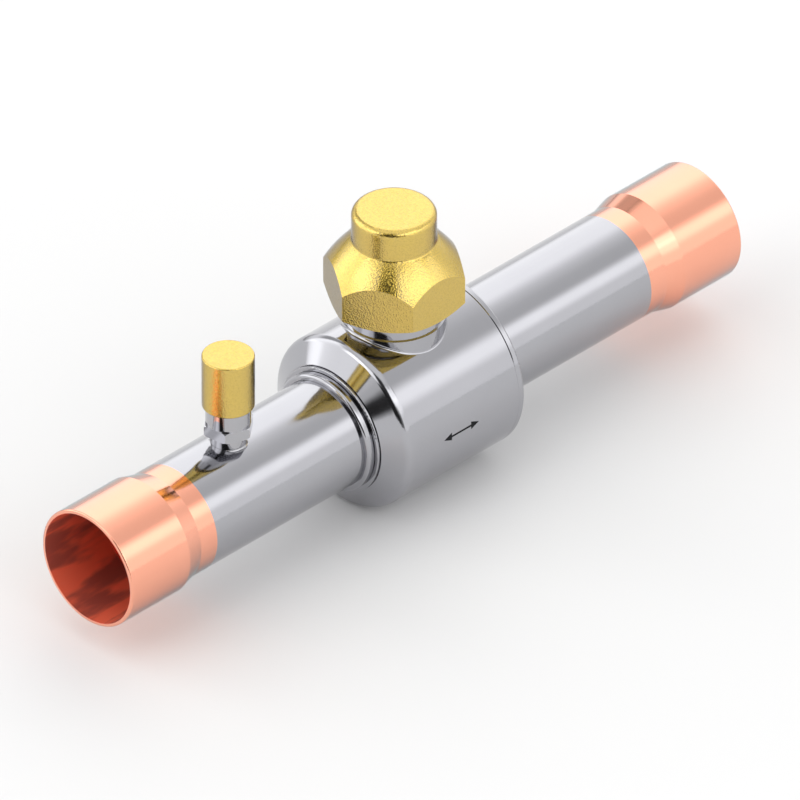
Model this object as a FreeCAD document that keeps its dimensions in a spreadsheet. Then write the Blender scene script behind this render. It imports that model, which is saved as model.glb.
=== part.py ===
import FreeCAD, Part
import math
import os

import Sketcher

# Quarter-turn refrigerant valve with solder ends, a capped spindle and a charging port.
# Millimetres and degrees. +X runs with the flow from the inlet mouth, +Z up the spindle.
# The origin is the centre of the inlet socket's mouth.

doc = FreeCAD.newDocument("RefrigerantValve")

# Driving sizes, each set by itself
driving_sizes = {
    # Whole valve, mouth to mouth
    "overall_length": 206.0,
    # Clearances
    "running_gap": 0.08,  # radial, shaft in bore and thread on thread
    "bearing_gap": 0.05,  # between flat faces that bear on each other
    "braze_gap": 0.05,  # filled with braze or solder
    "squeeze_gap": 0.06,  # round a seal ring in its groove
    "seat_gap": 0.15,  # ball to seat
    # Copper solder ends
    "socket_bore": 28.7,
    "socket_wall": 0.95,
    "socket_depth": 19.2,
    "socket_cone": 5.0,
    "socket_neck": 5.4,
    "socket_rim_round": 0.4,
    # Steel tubes
    "tube_diameter": 28.0,
    "tube_wall": 2.0,
    "tube_chamfer": 0.4,
    "spigot_length": 5.0,
    "spigot_wall": 1.05,
    # Ball
    "ball_diameter": 34.0,
    "port_diameter": 22.0,
    "port_chamfer": 0.5,
    "slot_depth": 4.2,
    "slot_side_gap": 0.06,
    "slot_end_gap": 0.3,
    "relief_hole": 3.0,
    # Seats and the rings behind them
    "seat_port_margin": 0.3,  # radial, past the ball's port
    "seat_face_width": 2.45,
    "seat_rim": 1.35,
    "seat_thickness": 3.1,
    "seat_proud": 0.3,
    "seat_ring_wire": 1.8,
    # Barrel
    "cavity_clearance": 0.8,
    "barrel_wall": 4.8,
    "barrel_cone": 3.9,
    "barrel_cone_rise": 0.3,
    "barrel_edge_round": 2.5,
    "hub_wall": 3.0,
    "tube_insert": 5.1,
    "collar_wall": 1.4,
    "collar_length": 2.0,
    "collar_round": 0.8,
    "ring_rise": 1.1,
    "ring_length": 0.6,
    "ring_round": 0.25,
    "ring_groove": 0.2,
    "ring_groove_depth": 0.4,
    # End plug
    "plug_flange": 1.7,
    "plug_collar": 2.6,
    "plug_chamfer": 0.6,
    "flange_round": 0.4,
    "seam_chamfer": 0.15,
    # Neck for the spindle
    "neck_rise": 1.0,
    "neck_wall": 5.87,
    "neck_step": 0.45,
    "neck_step_height": 0.3,
    "neck_foot_round": 0.65,
    "neck_land": 4.6,
    "neck_thread_length": 9.8,
    "neck_thread_depth": 0.45,
    "neck_lead": 0.6,
    # Spindle
    "spindle_diameter": 12.0,
    "spindle_collar": 3.0,
    "spindle_collar_thickness": 2.0,
    "spindle_collar_gap": 0.4,
    "spindle_head": 8.0,
    "spindle_square": 8.4,
    "spindle_square_gap": 0.6,
    "spindle_lead": 0.5,
    "tang_width": 6.0,
    "tang_length": 14.0,
    "driver_slot": 1.6,
    "driver_slot_depth": 1.6,
    "washer_thickness": 1.0,
    "washer_side_gap": 0.25,
    "spindle_seal_wire": 1.6,
    "spindle_seal_groove": 2.2,
    "spindle_seal_place": 3.6,
    "spindle_seal_spacing": 5.0,
    # Stop pin
    "stop_pin_diameter": 2.5,
    "stop_pin_reach": 2.5,
    "stop_pin_drop": 1.3,
    "stop_pin_root": 0.4,
    "stop_pin_chamfer": 0.25,
    "stop_gap": 0.1,
    # Seal cap and its gasket
    "gasket_thickness": 1.2,
    "gasket_inner_land": 0.4,
    "gasket_side_gap": 0.3,
    "cap_wall": 3.17,
    "cap_thread_depth": 11.25,
    "cap_lead": 0.5,
    "cap_hex_height": 8.4,
    "cap_hex_angle": 30.0,
    "cap_head": 14.2,
    "cap_dome_rise": 6.0,
    "cap_dome_radius": 45.0,
    "knob_diameter": 20.6,
    "knob_wall": 2.4,
    "knob_top_wall": 3.5,
    "knob_round": 1.7,
    "knob_foot_round": 0.8,
    # Charging port on the inlet tube
    "port_place": 47.2,
    "port_spigot": 7.8,
    "port_spigot_end": 0.8,
    "port_foot": 9.7,
    "port_foot_drop": 0.5,  # below the tube's crest, so the foot shows at its sides
    "port_foot_round": 0.45,
    "port_stem": 8.8,
    "port_hex": 11.0,
    "port_hex_place": 2.9,
    "port_hex_height": 2.9,
    "port_hex_chamfer": 0.35,
    "port_hex_turn": 38.0,
    "port_thread": 11.1,
    "port_thread_depth": 0.4,
    "port_land": 5.0,
    "port_length": 15.4,
    "port_tip": 6.4,
    # Charging port's core
    "core_bore": 5.3,
    "core_recess": 0.8,
    "core_head_length": 4.2,
    "core_head_chamfer": 0.25,
    "core_cup": 3.2,
    "core_cup_depth": 3.4,
    "core_stem": 3.2,
    "core_stem_length": 4.4,
    "core_pin_hole": 1.6,
    "core_seat_length": 2.4,
    "core_seat_place": 0.2,
    "core_lower_bore": 4.0,
    "core_pin_rod": 1.3,
    "core_pin_head": 2.7,
    "core_pin_head_length": 1.0,
    "core_pin_proud": 0.5,
    "core_pin_foot": 3.1,
    "core_pin_foot_length": 1.7,
    "core_pin_lead": 0.2,
    "core_disc_thickness": 0.8,
    "core_spring_wire": 0.3,
    "core_spring_turns": 4.0,
    "core_spring_gap": 0.25,
    # Charging port's cap
    "port_cap_wall": 0.75,
    "port_cap_depth": 12.1,
    "port_cap_top": 2.2,
    "port_cap_round": 0.35,
    "port_cap_lead": 0.3,
    "port_cap_seal": 1.2,
    "port_cap_seal_side_gap": 0.35,
}

sheet = doc.addObject("Spreadsheet::Sheet", "Sizes")
for row, (name, number) in enumerate(driving_sizes.items(), start=1):
    sheet.set("A%d" % row, name)
    sheet.set("B%d" % row, str(number))
    sheet.setAlias("B%d" % row, name)
doc.recompute()


class Size:
    # A number together with the expression on the sheet that it comes from

    def __init__(self, value, text):
        self.value = value
        self.text = text

    def __add__(self, other):
        other = as_size(other)
        return Size(self.value + other.value, "(%s + %s)" % (self.text, other.text))

    def __sub__(self, other):
        other = as_size(other)
        return Size(self.value - other.value, "(%s - %s)" % (self.text, other.text))

    def __mul__(self, other):
        other = as_size(other)
        return Size(self.value * other.value, "(%s * %s)" % (self.text, other.text))

    def __truediv__(self, other):
        other = as_size(other)
        return Size(self.value / other.value, "(%s / %s)" % (self.text, other.text))

    def __neg__(self):
        return Size(-self.value, "(0 - %s)" % self.text)


def as_size(number):
    if isinstance(number, Size):
        return number
    return Size(float(number), repr(float(number)))


def root(size):
    return Size(math.sqrt(size.value), "sqrt(%s)" % size.text)


def smaller(first, second):
    return Size(min(first.value, second.value), "min(%s, %s)" % (first.text, second.text))


def square_of(size):
    return size * size


def across(radius, height):
    # Half the width of a circle at a height above its centre
    return root(square_of(radius) - square_of(height))


def cosine(size):
    return Size(math.cos(math.radians(size.value)), "cos(%s * 1 deg)" % size.text)


def tangent(size):
    return Size(math.tan(math.radians(size.value)), "tan(%s * 1 deg)" % size.text)


class SheetSizes:
    # The driving sizes by name, read back from the sheet

    def __getattr__(self, name):
        return Size(float(sheet.get(name)), "Sizes." + name)


class WorkedPlaces:
    # Sizes and places worked out from the sheet, each kept as a bound property of the document

    def __init__(self):
        self.__dict__["holder"] = doc.addObject("App::VarSet", "Places")

    def __setattr__(self, name, size):
        self.holder.addProperty("App::PropertyFloat", name)
        self.holder.setExpression(name, size.text)
        self.__dict__[name] = Size(size.value, "Places." + name)


given = SheetSizes()
at = WorkedPlaces()
axis_line = as_size(0)
# From the middle of a hexagon's flat to its corner
hexagon_half_angle = as_size(30)

# Flow line, measured along X from the stem axis unless it says otherwise
at.stem = given.overall_length / 2
at.tube_outer = given.tube_diameter / 2
at.tube_inner = at.tube_outer - given.tube_wall
at.tube_fit = at.tube_outer + given.braze_gap
at.spigot_outer = at.tube_inner + given.spigot_wall
at.socket_inner = given.socket_bore / 2
at.socket_outer = at.socket_inner + given.socket_wall
at.socket_neck_inner = at.spigot_outer + given.braze_gap
at.socket_cone_end = given.socket_depth + given.socket_cone
at.socket_end = at.socket_cone_end + given.socket_neck

at.ball = given.ball_diameter / 2
at.port = given.port_diameter / 2
at.seat_sphere = at.ball + given.seat_gap
at.seat_inner = at.port + given.seat_port_margin
at.seat_contact = at.seat_inner + given.seat_face_width
at.seat_outer = at.seat_contact + given.seat_rim
at.pocket = at.seat_outer + given.bearing_gap
at.seat_front = across(at.seat_sphere, at.seat_contact)
at.seat_lip = across(at.seat_sphere, at.seat_inner)
at.pocket_floor = at.seat_lip + given.seat_thickness
at.seat_back = at.pocket_floor - given.bearing_gap
at.seat_step = at.pocket_floor - given.seat_ring_wire - given.squeeze_gap * 2
at.seat_step_outer = at.pocket - given.seat_ring_wire - given.squeeze_gap * 2
at.seat_ring_centre = at.pocket - given.squeeze_gap - given.seat_ring_wire / 2
at.seat_ring_place = at.pocket_floor - given.squeeze_gap - given.seat_ring_wire / 2

at.tube_stop = at.pocket_floor + given.hub_wall
at.hub_face = at.tube_stop + given.tube_insert
at.tube_end = at.stem - at.tube_stop - given.bearing_gap
at.cavity = at.ball + given.cavity_clearance
at.cavity_wall = at.seat_front + given.seat_proud
at.barrel = at.cavity + given.barrel_wall
at.collar = at.tube_outer + given.collar_wall
at.ring = at.collar + given.ring_rise
at.cone_small = at.ring + given.barrel_cone_rise
at.plug_end = at.hub_face - given.plug_collar
at.seam = at.plug_end - given.plug_flange
at.pilot = at.cavity - given.bearing_gap

# Collars of the inlet hub, measured along X from the inlet mouth
at.hub_start = at.stem - at.hub_face
at.collar_end = at.hub_start + given.collar_length
at.ring_start = at.collar_end + given.ring_groove
at.ring_end = at.ring_start + given.ring_length
at.cone_start = at.ring_end + given.ring_groove
at.cone_end = at.cone_start + given.barrel_cone

# Spindle line, heights above the flow axis
at.spindle = given.spindle_diameter / 2
at.spindle_bore = at.spindle + given.running_gap
at.slot_floor = at.ball - given.slot_depth
at.slot_half = given.tang_width / 2 + given.slot_side_gap
at.tang_bottom = at.slot_floor + given.slot_end_gap
at.spindle_collar = at.spindle + given.spindle_collar
at.collar_bore = at.spindle_collar + given.running_gap
at.collar_bottom = at.ball + given.spindle_collar_gap
at.collar_top = at.collar_bottom + given.spindle_collar_thickness
at.washer_bottom = at.collar_top + given.bearing_gap
at.washer_top = at.washer_bottom + given.washer_thickness
at.collar_bore_top = at.washer_top + given.bearing_gap
at.spindle_groove = at.spindle_bore - given.spindle_seal_wire - given.squeeze_gap * 2
at.spindle_seal_centre = at.spindle_groove + given.squeeze_gap + given.spindle_seal_wire / 2
at.lower_seal = at.collar_bore_top + given.spindle_seal_place
at.upper_seal = at.lower_seal + given.spindle_seal_spacing
at.groove_half = given.spindle_seal_groove / 2

at.neck_shoulder = at.barrel + given.neck_rise
at.neck_land = at.spindle_bore + given.neck_wall
at.neck_foot = at.neck_land + given.neck_step
at.neck_core = at.neck_land - given.neck_thread_depth
at.neck_land_top = at.neck_shoulder + given.neck_land
at.neck_top = at.neck_land_top + given.neck_thread_length
at.spindle_top = at.neck_top + given.spindle_head
at.square_bottom = at.neck_top + given.spindle_square_gap

at.stop_pin = given.stop_pin_diameter / 2
at.stop_pin_height = at.neck_top - given.stop_pin_drop
at.stop_pin_end = at.spindle + given.stop_pin_reach
at.stop_recess = at.stop_pin_end + given.stop_gap
at.stop_half = at.stop_pin + given.stop_gap
at.stop_floor = at.stop_pin_height - at.stop_pin - given.stop_gap
at.stop_corner = across(at.stop_recess, at.stop_half)

# Seal cap, heights above the flow axis
at.gasket_bottom = at.neck_top + given.bearing_gap
at.gasket_top = at.gasket_bottom + given.gasket_thickness
at.gasket_inner = at.stop_recess + given.gasket_inner_land
at.cap_bore = at.neck_land + given.running_gap
at.gasket_outer = at.cap_bore - given.gasket_side_gap
at.cap_shoulder = at.gasket_top + given.bearing_gap
at.cap_rim = at.cap_shoulder - given.cap_thread_depth
at.cap_flat = at.cap_bore + given.cap_wall
at.cap_corner = at.cap_flat / cosine(hexagon_half_angle)
at.cap_corner_low = at.cap_rim + (at.cap_corner - at.cap_flat) * tangent(given.cap_hex_angle)
at.cap_corner_top = at.cap_rim + given.cap_hex_height
at.cap_top = at.cap_shoulder + given.cap_head
at.knob = given.knob_diameter / 2
at.knob_foot = at.cap_shoulder + given.cap_dome_rise
at.cap_cavity = at.knob - given.knob_wall
at.cap_ceiling = at.cap_top - given.knob_top_wall
# The dome's arc has its centre on the inner side of its chord
at.dome_width = at.cap_corner - at.knob
at.dome_height = at.knob_foot - at.cap_corner_top
at.dome_chord = root(square_of(at.dome_width) + square_of(at.dome_height))
at.dome_reach = across(given.cap_dome_radius, at.dome_chord / 2)
at.dome_centre_out = (at.cap_corner + at.knob) / 2 - at.dome_reach * at.dome_height / at.dome_chord
at.dome_centre_up = (at.cap_corner_top + at.knob_foot) / 2 - at.dome_reach * at.dome_width / at.dome_chord

# Charging port, heights above the flow axis
at.port_spigot = given.port_spigot / 2
at.port_hole = at.port_spigot + given.braze_gap
at.port_bottom = at.tube_inner - given.port_spigot_end
at.port_foot = given.port_foot / 2
at.port_stem = given.port_stem / 2
at.port_foot_low = across(at.tube_inner, at.port_foot)
at.port_foot_top = at.tube_outer - given.port_foot_drop
at.port_hex_bottom = at.tube_outer + given.port_hex_place
at.port_hex_top = at.port_hex_bottom + given.port_hex_height
at.port_hex_corner = given.port_hex / 2 / cosine(hexagon_half_angle)
at.port_thread = given.port_thread / 2
at.port_core = at.port_thread - given.port_thread_depth
at.port_land_top = at.port_hex_top + given.port_land
at.port_tip = at.port_hex_top + given.port_length
at.port_tip_outer = given.port_tip / 2
at.port_flare = at.port_tip - (at.port_core - at.port_tip_outer)

at.core_bore = given.core_bore / 2
at.core_head = at.core_bore - given.bearing_gap
at.core_top = at.port_tip - given.core_recess
at.core_head_bottom = at.core_top - given.core_head_length
at.core_cup = given.core_cup / 2
at.core_ledge = at.core_top - given.core_cup_depth
at.core_stem = given.core_stem / 2
at.core_bottom = at.core_head_bottom - given.core_stem_length
at.core_pin_hole = given.core_pin_hole / 2
at.core_seat_top = at.core_head_bottom - given.core_seat_place
at.core_seat_bottom = at.core_seat_top - given.core_seat_length
at.core_lower = given.core_lower_bore / 2
at.core_rod = given.core_pin_rod / 2
at.core_pin_head = given.core_pin_head / 2
at.core_pin_top = at.core_top + given.core_pin_proud
at.core_pin_head_bottom = at.core_pin_top - given.core_pin_head_length
at.core_pin_foot = given.core_pin_foot / 2
at.core_disc_top = at.core_bottom - given.bearing_gap
at.core_disc_bottom = at.core_disc_top - given.core_disc_thickness
at.core_foot_top = at.core_disc_bottom - given.bearing_gap
at.core_foot_bottom = at.core_foot_top - given.core_pin_foot_length
at.spring_wire = given.core_spring_wire / 2
at.spring_centre = at.core_rod + given.core_spring_gap + at.spring_wire
at.spring_bottom = at.core_ledge + given.bearing_gap + at.spring_wire
at.spring_rise = at.core_pin_head_bottom - given.bearing_gap - at.spring_wire - at.spring_bottom

at.port_cap_bore = at.port_thread + given.running_gap
at.port_cap_outer = at.port_cap_bore + given.port_cap_wall
at.port_seal_bottom = at.port_tip + given.bearing_gap
at.port_seal_top = at.port_seal_bottom + given.port_cap_seal
at.port_seal_outer = at.port_cap_bore - given.port_cap_seal_side_gap
at.port_cap_ceiling = at.port_seal_top + given.bearing_gap
at.port_cap_rim = at.port_cap_ceiling - given.port_cap_depth
at.port_cap_top = at.port_cap_ceiling + given.port_cap_top

# How far a cut runs past the face it opens through
cut_past = as_size(1.0)
# A cut smaller than this, in cubic millimetres, has missed
least_cut = 0.001
# How near a point must lie to count as at a place
place_tolerance = 0.01
# The share of a step's height that a round may take
round_share = 0.95
half_turn = 180
full_turn = 360
hex_sides = 6


def new_body(label, x=None, z=None, turned=False):
    # A turned body faces the other way along the flow
    body = doc.addObject("PartDesign::Body", label)
    body.Label = label
    angle = half_turn if turned else 0
    body.Placement = FreeCAD.Placement(FreeCAD.Vector(), FreeCAD.Rotation(FreeCAD.Vector(0, 0, 1), angle))
    if x is not None:
        body.setExpression("Placement.Base.x", x.text)
    if z is not None:
        body.setExpression("Placement.Base.z", z.text)
    return body


def new_sketch(body, name, role="XZ_Plane", across_by=None, raised_by=None):
    # Flat on one of the body's own planes, moved along it or off it
    sketch = body.newObject("Sketcher::SketchObject", name)
    plane = [item for item in body.Origin.OriginFeatures if item.Role == role][0]
    sketch.AttachmentSupport = [(plane, "")]
    sketch.MapMode = "FlatFace"
    if across_by is not None:
        sketch.setExpression("AttachmentOffset.Base.x", across_by.text)
    if raised_by is not None:
        sketch.setExpression("AttachmentOffset.Base.z", raised_by.text)
    return sketch


def bind(sketch, constraint, size):
    index = sketch.addConstraint(constraint)
    sketch.setExpression("Constraints[%d]" % index, size.text)


def pin_coordinate(sketch, item, end, kind, size, axis):
    # One coordinate of a point, measured from the sketch's origin
    if size.value == 0:
        sketch.addConstraint(Sketcher.Constraint("PointOnObject", item, end, axis))
    elif size.value > 0:
        bind(sketch, Sketcher.Constraint(kind, -1, 1, item, end, size.value), size)
    else:
        bind(sketch, Sketcher.Constraint(kind, item, end, -1, 1, -size.value), -size)


def pin_across(sketch, item, end, size):
    pin_coordinate(sketch, item, end, "DistanceX", size, -2)


def pin_up(sketch, item, end, size):
    pin_coordinate(sketch, item, end, "DistanceY", size, -1)


def arc_between(start, finish, centre):
    # The shorter arc, with the ends in the order that the sketcher keeps them
    middle = FreeCAD.Vector(centre[0].value, centre[1].value, 0)
    radius = math.hypot(start.x - middle.x, start.y - middle.y)
    first = math.atan2(start.y - middle.y, start.x - middle.x)
    last = math.atan2(finish.y - middle.y, finish.x - middle.x)
    sweep = (last - first) % (2 * math.pi)
    forward = sweep <= math.pi
    circle = Part.Circle(middle, FreeCAD.Vector(0, 0, 1), radius)
    if forward:
        return Part.ArcOfCircle(circle, first, first + sweep), 1, 2
    return Part.ArcOfCircle(circle, last, last + 2 * math.pi - sweep), 2, 1


def outline(sketch, corners):
    # A closed outline of (across, up) corners. A third entry is the centre of an arc to that corner.
    corners = [tuple(as_size(item) if not isinstance(item, tuple) else item for item in corner)
               for corner in corners]
    points = [FreeCAD.Vector(corner[0].value, corner[1].value, 0) for corner in corners]
    starts = []
    ends = []
    for index in range(len(corners)):
        after = (index + 1) % len(corners)
        if len(corners[after]) == 2:
            item = sketch.addGeometry(Part.LineSegment(points[index], points[after]), False)
            starts.append((item, 1))
            ends.append((item, 2))
            continue
        centre = tuple(as_size(number) for number in corners[after][2])
        arc, start_end, finish_end = arc_between(points[index], points[after], centre)
        item = sketch.addGeometry(arc, False)
        starts.append((item, start_end))
        ends.append((item, finish_end))
    for index in range(len(corners)):
        after = (index + 1) % len(corners)
        sketch.addConstraint(Sketcher.Constraint("Coincident", *ends[index], *starts[after]))
    for index, corner in enumerate(corners):
        pin_across(sketch, *starts[index], corner[0])
        pin_up(sketch, *starts[index], corner[1])
        if len(corner) == 3:
            # The centre lies on the chord's mid line, so one coordinate fixes it
            arc_item = ends[index - 1][0]
            centre = tuple(as_size(number) for number in corner[2])
            chord = points[index] - points[index - 1]
            if abs(chord.x) >= abs(chord.y):
                pin_up(sketch, arc_item, 3, centre[1])
            else:
                pin_across(sketch, arc_item, 3, centre[0])


def circle(sketch, radius, centre_across=axis_line, centre_up=axis_line):
    middle = FreeCAD.Vector(centre_across.value, centre_up.value, 0)
    item = sketch.addGeometry(Part.Circle(middle, FreeCAD.Vector(0, 0, 1), radius.value), False)
    bind(sketch, Sketcher.Constraint("Radius", item, radius.value), radius)
    pin_across(sketch, item, 3, centre_across)
    pin_up(sketch, item, 3, centre_up)


def polygon(sketch, sides, corner_radius):
    # A regular polygon about the origin with one corner on the sketch's own axis
    guide = Part.Circle(FreeCAD.Vector(), FreeCAD.Vector(0, 0, 1), corner_radius.value)
    ring = sketch.addGeometry(guide, True)
    sketch.addConstraint(Sketcher.Constraint("Coincident", ring, 3, -1, 1))
    bind(sketch, Sketcher.Constraint("Radius", ring, corner_radius.value), corner_radius)
    angles = [math.radians(full_turn * corner / sides) for corner in range(sides)]
    points = [FreeCAD.Vector(math.cos(angle), math.sin(angle), 0) * corner_radius.value for angle in angles]
    lines = []
    for index, point in enumerate(points):
        lines.append(sketch.addGeometry(Part.LineSegment(point, points[(index + 1) % sides]), False))
    for index, line in enumerate(lines):
        following = lines[(index + 1) % sides]
        sketch.addConstraint(Sketcher.Constraint("Coincident", line, 2, following, 1))
        sketch.addConstraint(Sketcher.Constraint("PointOnObject", line, 1, ring))
        if index:
            sketch.addConstraint(Sketcher.Constraint("Equal", lines[0], line))
    sketch.addConstraint(Sketcher.Constraint("PointOnObject", lines[0], 1, -1))


def revolve(body, name, corners, axis, cut=False, across_by=None):
    # Turned about the sketch's upright axis, "V_Axis", or its level one, "H_Axis"
    sketch = new_sketch(body, name + "_outline", across_by=across_by)
    outline(sketch, corners)
    feature = body.newObject("PartDesign::Groove" if cut else "PartDesign::Revolution", name)
    feature.Profile = sketch
    feature.ReferenceAxis = (sketch, [axis])
    feature.Angle = full_turn
    doc.recompute()
    return feature


def extrude(body, name, sketch, length=None, cut=False, both_ways=False, backwards=False):
    # With no length, a cut runs through everything
    feature = body.newObject("PartDesign::Pocket" if cut else "PartDesign::Pad", name)
    feature.Profile = sketch
    if length is None:
        feature.Type = "ThroughAll"
    else:
        feature.setExpression("Length", length.text)
    if both_ways:
        feature.SideType = "Symmetric"
    feature.Reversed = backwards
    doc.recompute()
    if cut and feature.Shape.Volume > feature.BaseFeature.Shape.Volume - least_cut:
        raise RuntimeError("%s cuts nothing from %s" % (name, body.Label))
    return feature


def round_edges(body, name, radius, belongs):
    # Rounds every edge whose whole length passes the test
    source = body.Tip
    names = []
    steps = 8
    for number, edge in enumerate(source.Shape.Edges, start=1):
        first, last = edge.ParameterRange
        points = [edge.valueAt(first + (last - first) * step / steps) for step in range(steps + 1)]
        if all(belongs(point) for point in points):
            names.append("Edge%d" % number)
    if not names:
        raise RuntimeError("%s finds no edge on %s" % (name, body.Label))
    feature = body.newObject("PartDesign::Fillet", name)
    feature.Base = (source, names)
    feature.setExpression("Radius", radius.text)
    doc.recompute()
    return feature


def from_flow_axis(point):
    return math.hypot(point.y, point.z)


def from_upright_axis(point):
    return math.hypot(point.x, point.y)


def close_to(measured, size):
    return abs(measured - size.value) < place_tolerance


def seal_ring(label, axis, centre_out, place, wire, x, turned=False):
    # A round-section ring about the flow axis or the spindle axis
    body = new_body(label, x=x, turned=turned)
    sketch = new_sketch(body, label + "_section")
    if axis == "H_Axis":
        circle(sketch, wire / 2, place, centre_out)
    else:
        circle(sketch, wire / 2, centre_out, place)
    feature = body.newObject("PartDesign::Revolution", label + "_ring")
    feature.Profile = sketch
    feature.ReferenceAxis = (sketch, [axis])
    feature.Angle = full_turn
    return body


def washer(label, inner, outer, bottom, top, x):
    body = new_body(label, x=x)
    revolve(body, label + "_disc", [(inner, bottom), (outer, bottom), (outer, top), (inner, top)], "V_Axis")
    return body


# Copper solder end, measured from its own mouth
def build_socket(label, x=None, turned=False):
    body = new_body(label, x=x, turned=turned)
    rim = given.socket_rim_round
    revolve(body, "wall", [
        (axis_line, at.socket_inner),
        (axis_line, at.socket_outer - rim),
        (rim, at.socket_outer, (rim, at.socket_outer - rim)),
        (given.socket_depth, at.socket_outer),
        (at.socket_cone_end, at.tube_outer),
        (at.socket_end, at.tube_outer),
        (at.socket_end, at.socket_neck_inner),
        (at.socket_cone_end, at.socket_neck_inner),
        (given.socket_depth, at.socket_inner),
    ], "H_Axis")
    return body


# Steel tube between a solder end and the barrel, measured from the solder end's mouth
def build_tube(label, x=None, turned=False, port=False):
    body = new_body(label, x=x, turned=turned)
    bevel = given.tube_chamfer
    revolve(body, "wall", [
        (at.socket_end - given.spigot_length, at.tube_inner),
        (at.socket_end - given.spigot_length, at.spigot_outer),
        (at.socket_end, at.spigot_outer),
        (at.socket_end, at.tube_outer),
        (at.tube_end - bevel, at.tube_outer),
        (at.tube_end, at.tube_outer - bevel),
        (at.tube_end, at.tube_inner),
    ], "H_Axis")
    if port:
        hole = new_sketch(body, "port_hole_circle", role="XY_Plane")
        circle(hole, at.port_hole, given.port_place)
        extrude(body, "port_hole", hole, cut=True, backwards=True)
    return body


# Barrel with the inlet hub, the ball's cavity and the neck for the spindle
def build_barrel():
    body = new_body("barrel")
    groove_floor = at.collar - given.ring_groove_depth
    second_floor = at.ring - given.ring_groove_depth
    revolve(body, "turned_outside", [
        (at.hub_start, axis_line),
        (at.hub_start, at.collar - given.collar_round),
        (at.hub_start + given.collar_round, at.collar,
         (at.hub_start + given.collar_round, at.collar - given.collar_round)),
        (at.collar_end, at.collar),
        (at.collar_end, groove_floor),
        (at.ring_start, groove_floor),
        (at.ring_start, at.ring - given.ring_round),
        (at.ring_start + given.ring_round, at.ring,
         (at.ring_start + given.ring_round, at.ring - given.ring_round)),
        (at.ring_end, at.ring),
        (at.ring_end, second_floor),
        (at.cone_start, second_floor),
        (at.cone_start, at.cone_small),
        (at.cone_end, at.barrel),
        (at.stem + at.seam - given.seam_chamfer, at.barrel),
        (at.stem + at.seam, at.barrel - given.seam_chamfer),
        (at.stem + at.seam, axis_line),
    ], "H_Axis")
    revolve(body, "neck", [
        (axis_line, axis_line),
        (at.neck_foot, axis_line),
        (at.neck_foot, at.neck_shoulder - given.neck_step_height),
        (at.neck_land, at.neck_shoulder),
        (at.neck_land, at.neck_land_top - given.neck_thread_depth),
        (at.neck_core, at.neck_land_top),
        (at.neck_core, at.neck_top - given.neck_lead),
        (at.neck_core - given.neck_lead, at.neck_top),
        (axis_line, at.neck_top),
    ], "V_Axis", across_by=at.stem)

    def at_neck_foot(point):
        from_stem = math.hypot(point.x - at.stem.value, point.y)
        upper = point.z > 0
        return upper and close_to(from_stem, at.neck_foot) and close_to(from_flow_axis(point), at.barrel)

    def at_cone_edge(point):
        return close_to(from_flow_axis(point), at.barrel) and close_to(point.x, at.cone_end)

    # The round stays below the shoulder at the barrel's crest
    room_for_round = (given.neck_rise - given.neck_step_height) * round_share
    round_edges(body, "neck_foot_round", smaller(given.neck_foot_round, room_for_round), at_neck_foot)
    round_edges(body, "cone_edge_round", given.barrel_edge_round, at_cone_edge)
    hub_mouth = at.hub_start - cut_past
    revolve(body, "flow_bores", [
        (hub_mouth, axis_line),
        (hub_mouth, at.tube_fit),
        (at.stem - at.tube_stop, at.tube_fit),
        (at.stem - at.tube_stop, at.port),
        (at.stem - at.pocket_floor, at.port),
        (at.stem - at.pocket_floor, at.pocket),
        (at.stem - at.cavity_wall, at.pocket),
        (at.stem - at.cavity_wall, at.cavity),
        (at.stem + at.seam + cut_past, at.cavity),
        (at.stem + at.seam + cut_past, axis_line),
    ], "H_Axis", cut=True)
    revolve(body, "spindle_bore", [
        (axis_line, axis_line),
        (at.collar_bore, axis_line),
        (at.collar_bore, at.collar_bore_top),
        (at.spindle_bore, at.collar_bore_top),
        (at.spindle_bore, at.neck_top + cut_past),
        (axis_line, at.neck_top + cut_past),
    ], "V_Axis", cut=True, across_by=at.stem)
    # The stop recess is a quarter disc, widened by the pin at both ends of its swing
    recess = new_sketch(body, "stop_recess_outline", role="XY_Plane", across_by=at.stem, raised_by=at.stop_floor)
    outline(recess, [
        (-at.stop_half, at.stop_half),
        (at.stop_corner, at.stop_half),
        (-at.stop_half, -at.stop_corner, (axis_line, axis_line)),
    ])
    extrude(body, "stop_recess", recess, cut=True, backwards=True)
    return body


# Plug that closes the barrel behind the ball, measured from the stem axis
def build_end_plug():
    body = new_body("end_plug", x=at.stem)
    edge = given.flange_round
    collar_bend = given.collar_round
    revolve(body, "turned_ring", [
        (at.cavity_wall, at.pocket),
        (at.pocket_floor, at.pocket),
        (at.pocket_floor, at.port),
        (at.tube_stop, at.port),
        (at.tube_stop, at.tube_fit),
        (at.hub_face, at.tube_fit),
        (at.hub_face, at.collar - collar_bend),
        (at.hub_face - collar_bend, at.collar, (at.hub_face - collar_bend, at.collar - collar_bend)),
        (at.plug_end, at.collar),
        (at.plug_end, at.barrel - edge),
        (at.plug_end - edge, at.barrel, (at.plug_end - edge, at.barrel - edge)),
        (at.seam + given.seam_chamfer, at.barrel),
        (at.seam, at.barrel - given.seam_chamfer),
        (at.seam, at.pilot),
        (at.cavity_wall + given.plug_chamfer, at.pilot),
        (at.cavity_wall, at.pilot - given.plug_chamfer),
    ], "H_Axis")
    return body


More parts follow.
